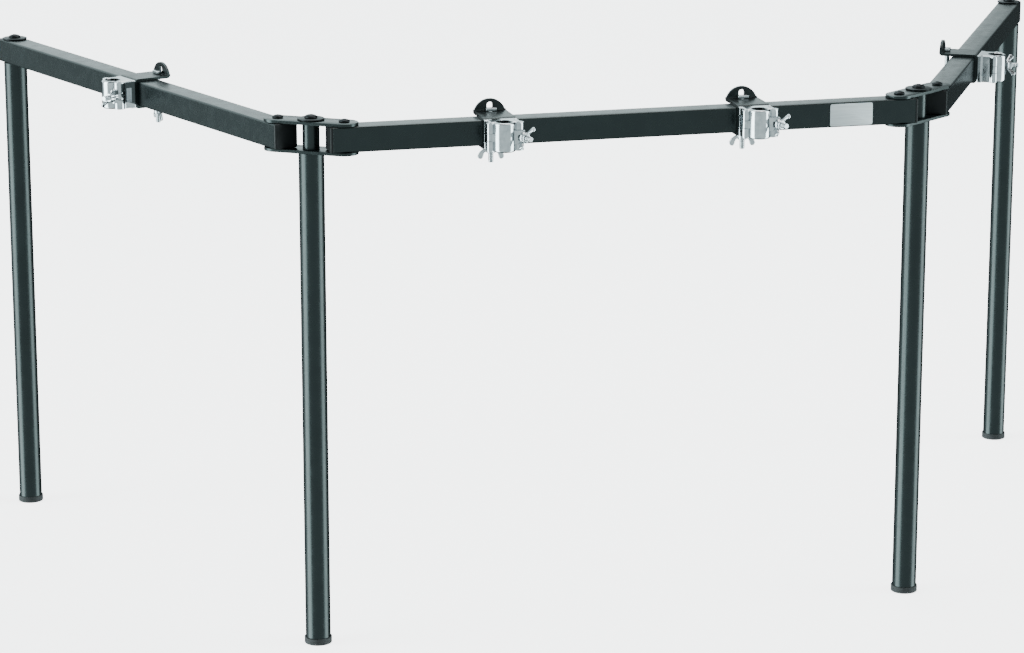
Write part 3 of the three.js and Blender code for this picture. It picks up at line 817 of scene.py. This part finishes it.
def m8_thread(length, finish):
    return grown(thread_tree, "thread", finish, Outer_Radius=4.0, Pitch=1.25, Length=length,
                 Depth=0.7)


print("thread tree sockets:", len(thread_tree.interface.items_tree))

# %% [markdown]
# ## Clamp brackets
# The bracket is 4 mm strip, bent round the bar like a C with a half-disc tab that stands up behind
# it. A 9 mm slot runs down the tab and round the bend, so the tee bolt can be hooked in. The bent
# section is lofted as one outline, so its bends have true radii, and then the slot and the round
# ends are punched.

# %% Brackets
GRIP_IN = BAR / 2 + GAP
STRIP = 4.0
GRIP_OUT = GRIP_IN + STRIP
BRACKET_WIDTH = 50.0
BRACKET_REACH = 39.0
TAB_TOP = GRIP_OUT + 18.0
TEE_BOLT_Y = 29.0
TEE_BOLT_HOLE = 4.4
SLOT_HALF = 4.5
SPIGOT_Z = 13
PIN_RADIUS = 3.0
PIN_HOLE = PIN_RADIUS + GAP
Z_TO_OUT = Matrix.Rotation(math.radians(90), 4, "X")


def bent_strip():
    tight, wide = 1.5, 5.5
    face = BRACKET_REACH - STRIP
    points = [(BRACKET_REACH, -GRIP_OUT), (BRACKET_REACH, -GRIP_IN)]
    points += round_corner((tight - GRIP_IN, tight - GRIP_IN), tight, -90, -180, 4)
    points += round_corner((tight - GRIP_IN, GRIP_IN - tight), tight, 180, 90, 4)
    points += round_corner((BRACKET_REACH - wide, GRIP_IN + wide), wide, -90, 0, 8)
    points += [(BRACKET_REACH, TAB_TOP), (face, TAB_TOP)]
    points += round_corner((face - tight, GRIP_OUT + tight), tight, 0, -90, 4)
    points += round_corner((wide - GRIP_OUT, GRIP_OUT - wide), wide, 90, 180, 8)
    points += round_corner((wide - GRIP_OUT, wide - GRIP_OUT), wide, 180, 270, 8)
    half = BRACKET_WIDTH / 2
    return loft([[(x, y, z) for y, z in points] for x in (-half, half)], "strip")


def bracket_piece():
    half = BRACKET_WIDTH / 2
    face = BRACKET_REACH - STRIP
    strip = bent_strip()
    tab_waste = block((-40, 40), (face - 0.5, BRACKET_REACH + 1), (GRIP_OUT + 1.5, TAB_TOP + 4))
    tab_waste = cut(tab_waste, cross_rod(half, face - 3, BRACKET_REACH + 3, TAB_TOP - half, 96))
    flange_waste = block((-40, 40), (BRACKET_REACH - half, BRACKET_REACH + 3),
                         (-GRIP_OUT - 1, -GRIP_IN + 0.5))
    flange_waste = cut(flange_waste, rod(half, -GRIP_OUT - 3, 0, 0, BRACKET_REACH - half, 96))
    up_slot = slab(stadium(GRIP_IN, TAB_TOP - 5 - SLOT_HALF, SLOT_HALF, 16),
                   face - 1.5, BRACKET_REACH + 4)
    up_slot.data.transform(Matrix(((0, 1, 0, 0), (0, 0, 1, 0), (1, 0, 0, 0), (0, 0, 0, 1))))
    flat_slot = slab(stadium(BRACKET_REACH - 14.5 + SLOT_HALF, BRACKET_REACH + 14, SLOT_HALF, 16),
                     GRIP_IN - 4, GRIP_OUT + 1.5)
    flat_slot.data.transform(Matrix.Rotation(math.radians(90), 4, "Z"))
    tee_hole = rod(TEE_BOLT_HOLE, -GRIP_OUT - 4, 0, 0, TEE_BOLT_Y)
    tools = [tab_waste, flange_waste, up_slot, flat_slot, tee_hole]
    for z in (-SPIGOT_Z, SPIGOT_Z):
        tools.append(cross_rod(PIN_HOLE, -GRIP_OUT - 1, 1 - GRIP_IN, z, 24))
    return broken_edges(cut(strip, *tools), 0.55)


# %% [markdown]
# ## Clamp jaws
# The jaws are one casting split across its pipe bore. Melting the rough shapes into one body gives
# the soft inner corners of a casting, and the machined faces, the split, the bore and the slots,
# are cut crisp afterwards. The two hinge pins are pressed into the rear jaw's lugs, slim on the
# left, where the front jaw hinges, and stout on the right, where the eye bolt pulls. A window on
# each side saves metal.

# %% Rear jaw
BORE = 12.0
KNUCKLE_HALF = 5.7
JAW_HALF = 22.0
LUG_HALF = 21.0
JAW_STAND_OFF = 50.0  # from the bar's axis to the bore's axis
PIN_X = 21.0
PAD_BACK = -(GRIP_OUT + GAP)
EYES = ((-1, 6.0, 5.7), (1, 8.5, 8.0))  # side, lug radius, knuckle radius
WIDE = (-60, 60)  # reach of a cutting tool that goes past the whole piece


def bore_tool():
    """The pipe's bore, with a small chamfer at both mouths."""
    end, slope = JAW_HALF + 2, 2.6
    profile = [(0, -end), (BORE + slope, -end), (BORE, slope - end), (BORE, end - slope),
               (BORE + slope, end), (0, end)]
    return moved(lathe(profile, "bore", 96), 0, -JAW_STAND_OFF)


def ranged(side, near, far):
    """Low and high X of a stretch on one side of the clamp."""
    return sorted((side * near, side * far))


def pin_piece(half):
    """Hinge pin with both rims rounded over."""
    rim = 0.7
    profile = [(0, -half)] + round_corner((PIN_RADIUS - rim, rim - half), rim, -90, 0, 4)
    profile += round_corner((PIN_RADIUS - rim, half - rim), rim, 0, 90, 4) + [(0, half)]
    return lathe(profile, "pin", 32)


def rear_jaw_piece():
    height, lug_height = (-JAW_HALF, JAW_HALF), (-LUG_HALF, LUG_HALF)
    pad = 7
    parts = [block((-25, 25), (PAD_BACK - pad, PAD_BACK), height),
             block((-20, 20), (GAP - JAW_STAND_OFF, PAD_BACK - 1), height)]
    for side, lug, _ in EYES:
        parts.append(rod(lug, *lug_height, side * PIN_X, -JAW_STAND_OFF, 64))
        parts.append(block(ranged(side, PIN_X - lug / 2, PIN_X + lug / 2),
                           (-JAW_STAND_OFF, PAD_BACK - 0.4), lug_height))
    body = cast(joined(*parts), 0.6, 4)
    slack = KNUCKLE_HALF + GAP
    fork = (-slack, slack)
    tools = [bore_tool(), block(WIDE, (PAD_BACK + 0.01, 0), WIDE),
             block((-42, 42), (-100, GAP - JAW_STAND_OFF), fork)]
    for side, lug, knuckle in EYES:
        tools.append(rod(knuckle + GAP, *fork, side * PIN_X, -JAW_STAND_OFF, 64))
        tools.append(block(ranged(side, PIN_X - 0.3, PIN_X + 12),
                           (-100, knuckle + GAP - JAW_STAND_OFF), fork))
        window = (lug + GAP - JAW_STAND_OFF, PAD_BACK - pad)
        tools.append(block(ranged(side, 17, 35), window, (-11, 11)))
    body = cut(body, *tools)
    extras = []
    for side in (-1, 1):
        extras.append(moved(pin_piece(JAW_HALF + 0.2), side * PIN_X, -JAW_STAND_OFF))
        extras.append(cross_rod(PIN_RADIUS, PAD_BACK - 0.5, -GRIP_IN - GAP, side * SPIGOT_Z, 24))
    return joined(body, *extras)


# %% Front jaw
def front_jaw_piece():
    ring, edge = BORE + 5.5, 3.4
    profile = [(0, -JAW_HALF)] + round_corner((ring - edge, edge - JAW_HALF), edge, -90, 0, 8)
    profile += round_corner((ring - edge, JAW_HALF - edge), edge, 0, 90, 8) + [(0, JAW_HALF)]
    body = moved(lathe(profile, "ring", 128), 0, -JAW_STAND_OFF)
    ear = rod(15, -10, 10, PIN_X, -JAW_STAND_OFF, 96)
    ear = combine(ear, [block((8, 28), (-90, -0.9 - JAW_STAND_OFF), (-20, 20))], "INTERSECT")
    body = combine(body, [broken_edges(ear, 1.2, segments=3)], "UNION")
    split = -GAP - JAW_STAND_OFF
    tools = [block(WIDE, (split, 0), WIDE)]
    tools += [rod(lug + GAP, *WIDE, side * PIN_X, -JAW_STAND_OFF, 64) for side, lug, _ in EYES]
    body = cut(body, *tools)
    outer, half = EYES[0][2], KNUCKLE_HALF
    knuckle = lathe([(0, -half), (outer - 0.4, -half), (outer, 0.4 - half), (outer, half - 0.4),
                     (outer - 0.4, half), (0, half)], "knuckle", 64)
    moved(knuckle, -PIN_X, -JAW_STAND_OFF)
    web = block((-PIN_X, -BORE - 0.3), (split - 6.3, split), (0.02 - half, half - 0.02))
    body = combine(body, [knuckle, web], "UNION")
    fork = 4.3
    slot = block((PIN_X - fork, 42), (-80, -JAW_STAND_OFF), (-fork, fork))
    bore = rod(PIN_HOLE, -30, 30, -PIN_X, -JAW_STAND_OFF, 32)
    return cut(body, slot, bore, bore_tool())


# %% [markdown]
# ## Eye bolts, tee bolts and wing nuts
# The eye bolt swings on the right pin and draws the front jaw shut. Its eye is a forged ring, so it
# is turned with round rims, and its shank carries a rolled thread. The wing nuts are castings as
# well.

# %% Bolts and nuts of the clamps
def eye_bolt_piece():
    inner, outer, half, rim = PIN_HOLE, EYES[1][2], KNUCKLE_HALF, 1.2
    profile = [(inner, 0.4 - half), (inner + 0.4, -half)]
    profile += round_corner((outer - rim, rim - half), rim, -90, 0, 4)
    profile += round_corner((outer - rim, half - rim), rim, 0, 90, 4)
    profile += [(inner + 0.4, half), (inner, half - 0.4)]
    eye = lathe(profile, "eye", 64, closed=True)
    neck = lathe([(0, 6.4), (4.6, 6.4), (3.9, 8.6), (3.7, 12), (0, 12)], "neck", 48)
    screw = moved(m8_thread(22.6, plated_steel), 0, 0, 11.6)
    end = lathe([(0, 33.8), (3.6, 33.8), (3.6, 34.3), (2.9, 34.6), (0, 34.6)], "end", 32)
    shank = joined(neck, screw, end)
    shank.data.transform(Z_TO_OUT)
    return joined(eye, shank)


def tee_bolt_piece():
    seat = GRIP_OUT + GAP
    head = broken_edges(block((-8, 8), (-4.5, 4.5), (seat, seat + 5)), 0.8, segments=3)
    screw = moved(m8_thread(74.5, plated_steel), 0, 0, -52.5)
    end = lathe([(0, -54), (3.0, -54), (3.6, -53.4), (3.6, -52), (0, -52)], "end", 32)
    return joined(head, screw, end)


def wing_nut_piece(hub_height, wing_height):
    hub = lathe([(0, 0), (7.6, 0), (8.0, 0.4), (8.0, 2.2), (7.2, 3.2), (6.5, hub_height - 0.6),
                 (6.0, hub_height), (0, hub_height)], "hub", 64)
    tip, lobe, foot = 20.0, 4.6, hub_height - 8
    outline = [(2, foot + 1), (8, foot), (12.5, foot + (wing_height - foot) * 0.16),
               (17.2, foot + (wing_height - foot) * 0.38)]
    outline += round_corner((tip - lobe, wing_height - lobe), lobe, -40, 130, 8)
    outline += [(9.8, hub_height - 0.2), (6.5, hub_height - 1.8), (2, hub_height - 1.5)]
    wings = []
    for side in (-1, 1):
        wing = slab([(side * x, h) for x, h in outline], -1.8, 1.8)
        wing.data.transform(Z_TO_OUT)
        wings.append(broken_edges(wing, 1.3, segments=3))
    body = cast(joined(hub, *wings), 0.45, 3)
    return cut(body, rod(4.35, -5, hub_height + 5), block(WIDE, WIDE, (-3, 0.02)))


# %% [markdown]
# The four clamps are the same seven pieces. Each is drawn once, and a copy of its mesh goes to each
# clamp, because the copies ride on different bodies.

# %% Place the clamps
CLAMPS = ("centre_left_clamp", "centre_right_clamp", "left_clamp", "right_clamp")
EYE_BOLT_SWING = 18
JAW_NUT_OUT = 15.3
JAW_NUT_TURN = 49
LOCK_NUT_TURN = 10


def clamp_frame(name):
    """Clamp axes from its joints: x along the bar, y inward, z up, origin on the bar's axis."""
    x = Vector(joints[f"{name}_slide"]["axis"])
    y = UP.cross(x)
    pin = Vector(joints[f"{name}_jaw_open"]["pos_m"])
    turn = Matrix((x, y, UP)).transposed().to_4x4()
    origin = pin + (x * PIN_X + y * JAW_STAND_OFF) * MM
    return Matrix.Translation(origin) @ turn @ Matrix.Scale(MM, 4)


def turned(degrees):
    return Matrix.Rotation(math.radians(degrees), 4, "Z")


PIN_PLACE = Matrix.Translation((PIN_X, -JAW_STAND_OFF, 0)) @ turned(EYE_BOLT_SWING)
NUT_PLACE = PIN_PLACE @ Matrix.Translation((0, -JAW_NUT_OUT, 0)) @ Z_TO_OUT @ turned(JAW_NUT_TURN)
UPSIDE_DOWN = Matrix.Rotation(math.pi, 4, "X")
LOCK_SEAT = Matrix.Translation((0, TEE_BOLT_Y, -GRIP_OUT - GAP))
LOCK_PLACE = LOCK_SEAT @ UPSIDE_DOWN @ turned(LOCK_NUT_TURN)
clamp_pieces = {
    "bracket": (bracket_piece(), Matrix.Identity(4), bracket_coat, "bracket_paint"),
    "rear_jaw": (rear_jaw_piece(), Matrix.Identity(4), chrome, "chrome_jaw"),
    "front_jaw": (front_jaw_piece(), Matrix.Identity(4), chrome, "chrome_jaw"),
    "eye_bolt": (eye_bolt_piece(), PIN_PLACE, plated_steel, "chrome_fastener"),
    "jaw_wing_nut": (wing_nut_piece(9.0, 13.5), NUT_PLACE, plated_steel, "chrome_fastener"),
    "tee_bolt": (moved(tee_bolt_piece(), 0, TEE_BOLT_Y), Matrix.Identity(4), plated_steel,
                 "chrome_fastener"),
    "lock_wing_nut": (wing_nut_piece(16.0, 25.5), LOCK_PLACE, plated_steel, "chrome_fastener"),
}
for name in CLAMPS:
    clamp = clamp_frame(name)
    for part, (pattern, place, finish, slot) in clamp_pieces.items():
        twin = new_object(part, pattern.data.copy())
        finish_piece(twin, f"{name}_{part}", clamp @ place, finish)
for part, (pattern, place, finish, slot) in clamp_pieces.items():
    print(part, "faces:", len(pattern.data.polygons))
    discard(pattern)
print("with clamps:", piece_count)

# %% [markdown]
# ## Label
# A blank foil label sits on the front of the centre bar, near its right end. It is a thin plate
# with rounded corners.

# %% Blank label
low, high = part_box("label_plate")
width, height = (high[0] - low[0]) / MM, (high[2] - low[2]) / MM
half = 0.25
label = slab(rounded_rectangle(width, height, 3), -half, half, 0.1)
label.data.transform(Z_TO_OUT)
label_place = Matrix.Translation([(low[i] + high[i]) / 2 for i in range(3)]) @ Matrix.Scale(MM, 4)
finish_piece(label, "label_plate", label_place, foil)
print("label:", round(width, 1), "by", round(height, 1), "mm; pieces in all:", piece_count)

# %% [markdown]
# ## Floor, light and camera
# The photograph is a studio shot, cut out on white. The paint tells where the lights stood: each
# leg has one soft stripe on its left and one near its right edge, with a dark core between them,
# and the tops of the bars mirror a pale wall behind. So the room is a dim one with two tall strip
# lights, a pale back wall and a broad, weak panel in front. The pale floor is left out of the
# reflections, because it was dark under the real object.

# %% Floor
FLOOR_HALF = 30  # metres, so that no edge shows
floor_mesh = bpy.data.meshes.new("studio_floor")
bm = bmesh.new()
bm.faces.new([bm.verts.new((x * FLOOR_HALF, y * FLOOR_HALF, 0))
              for x, y in ((-1, -1), (1, -1), (1, 1), (-1, 1))])
bm.to_mesh(floor_mesh)
bm.free()
floor = new_object("studio_floor", floor_mesh)
pale, tree, shader, place = new_finish("pale_studio_paper", Roughness=0.9, Emission_Strength=3.6)
shader.inputs["Base Color"].default_value = srgb("f0f0f0")
shader.inputs["Emission Color"].default_value = srgb("ffffff")
floor_mesh.materials.append(pale)
floor.visible_glossy = floor.visible_diffuse = floor.visible_shadow = False
print("floor:", 2 * FLOOR_HALF, "m wide")

# %% [markdown]
# A light that is a part of the world can be shaped by bearing and height, so each panel is three
# smooth steps multiplied. A strip that chrome mirrors onto its neighbour would be a speck of
# glitter that a short render can't clean, so only the first mirror sees the strips at full
# strength. Cycles counts the world as one step more, and so a depth under 2.5 is the first mirror.

# %% Room light
world = bpy.data.worlds.new("studio_room")
bpy.context.scene.world = world
world.use_nodes = True
tree = world.node_tree
tree.nodes.clear()
direction = add_node(tree, "ShaderNodeTexCoord").outputs["Generated"]
axes = add_node(tree, "ShaderNodeSeparateXYZ", {0: direction}).outputs
level = add_node(tree, "ShaderNodeCombineXYZ", {"X": axes["X"], "Y": axes["Y"]}).outputs["Vector"]
compass = add_node(tree, "ShaderNodeVectorMath", {0: level}, operation="NORMALIZE").outputs[0]


def panel(bearing, half_width, soft, low, high, blur, strength):
    """A soft panel of light; all but its strength are angles in degrees, the bearing from X."""
    a = math.radians(bearing)
    facing = add_node(tree, "ShaderNodeVectorMath", {0: compass, 1: (math.cos(a), math.sin(a), 0)},
                      operation="DOT_PRODUCT").outputs["Value"]
    wide, narrow = (math.cos(math.radians(half_width + side * soft)) for side in (1, -1))
    low_out, low_in = (math.sin(math.radians(low + side * blur)) for side in (-1, 1))
    high_out, high_in = (math.sin(math.radians(high + side * blur)) for side in (1, -1))
    light = strength
    for value, outside, inside in ((facing, wide, narrow), (axes["Z"], low_out, low_in),
                                   (axes["Z"], high_out, high_in)):
        edge = add_node(tree, "ShaderNodeMapRange", {
            "Value": value, "From Min": outside, "From Max": inside},
            interpolation_type="SMOOTHSTEP")
        light = add_node(tree, "ShaderNodeMath", {0: light, 1: edge.outputs["Result"]},
                         operation="MULTIPLY").outputs[0]
    return light


PANELS = {
    "left strip": (180, 20, 6, -50, 45, 6, 8.5),
    "right strip": (342, 17, 5, -50, 45, 6, 5.8),
    "back wall": (102, 44, 14, 3, 60, 3, 0.58),
    "bright middle of the back wall": (108, 40, 4, 3, 60, 3, 1.3),
    "low wall on the left": (150, 24, 8, -50, 4, 6, 0.5),
    "broad front": (265, 95, 20, -60, 50, 10, 0.8),
}
ROOM_BASE = 0.06
total = ROOM_BASE
for shape in PANELS.values():
    total = add_node(tree, "ShaderNodeMath", {0: total, 1: panel(*shape)},
                     operation="ADD").outputs[0]
print("panels of light:", len(PANELS))

# %% First mirror and backdrop
FIRST_MIRROR = 2.5
NO_LIMIT, LATER_LIMIT = 100, 1.2
BACKDROP_STRENGTH = 4.6
path = add_node(tree, "ShaderNodeLightPath").outputs
first = add_node(tree, "ShaderNodeMath", {0: path["Ray Depth"], 1: FIRST_MIRROR},
                 operation="LESS_THAN")
limit = add_node(tree, "ShaderNodeMath", {0: first.outputs[0], 1: NO_LIMIT, 2: LATER_LIMIT},
                 operation="MULTIPLY_ADD")
kept = add_node(tree, "ShaderNodeMath", {0: total, 1: limit.outputs[0]}, operation="MINIMUM")
room = add_node(tree, "ShaderNodeBackground", {
    "Color": srgb("e2f5f7"), "Strength": kept.outputs[0]})
backdrop = add_node(tree, "ShaderNodeBackground", {
    "Color": srgb("ffffff"), "Strength": BACKDROP_STRENGTH})
seen = add_node(tree, "ShaderNodeMixShader", {
    0: path["Is Camera Ray"], 1: room.outputs[0], 2: backdrop.outputs[0]})
add_node(tree, "ShaderNodeOutputWorld", {"Surface": seen.outputs[0]})
print("limit for later mirrors:", LATER_LIMIT)

# %% [markdown]
# A wide, weak lamp overhead softens the shadows under the plates. The camera stands where the bars
# and legs fit the photo best, a little over 5 m away, with a long lens.

# %% Soft light from above
lamp_data = bpy.data.lights.new("top_soft_light", "AREA")
lamp_data.shape = "RECTANGLE"
lamp_data.size = 2.4
lamp_data.size_y = 1.6
lamp_data.energy = 45
lamp = new_object("top_soft_light", lamp_data)
lamp.location = (0.4, 0.4, 3.4)
lamp_aim = Vector((0, 0, 0.5))
lamp.rotation_euler = (lamp_aim - lamp.location).to_track_quat("-Z", "Y").to_euler()
print("soft light:", round(lamp_data.size, 2), "m wide")

# %% Camera
CAMERA_OFFSET = Vector((-1.0504, -4.9131, 1.7843))
LOOK_TURN = 75.13
LOOK_DOWN = 14.35
camera_data = bpy.data.cameras.new("camera")
camera_data.sensor_width = 36
camera_data.lens = 122.58
camera_data.clip_end = 100
camera = new_object("camera", camera_data)
camera.location = PIVOTS["centre"] + CAMERA_OFFSET
camera.rotation_euler = (math.radians(90 - LOOK_DOWN), 0, math.radians(LOOK_TURN - 90))
bpy.context.scene.camera = camera
print("camera:", [round(value, 3) for value in camera.location])
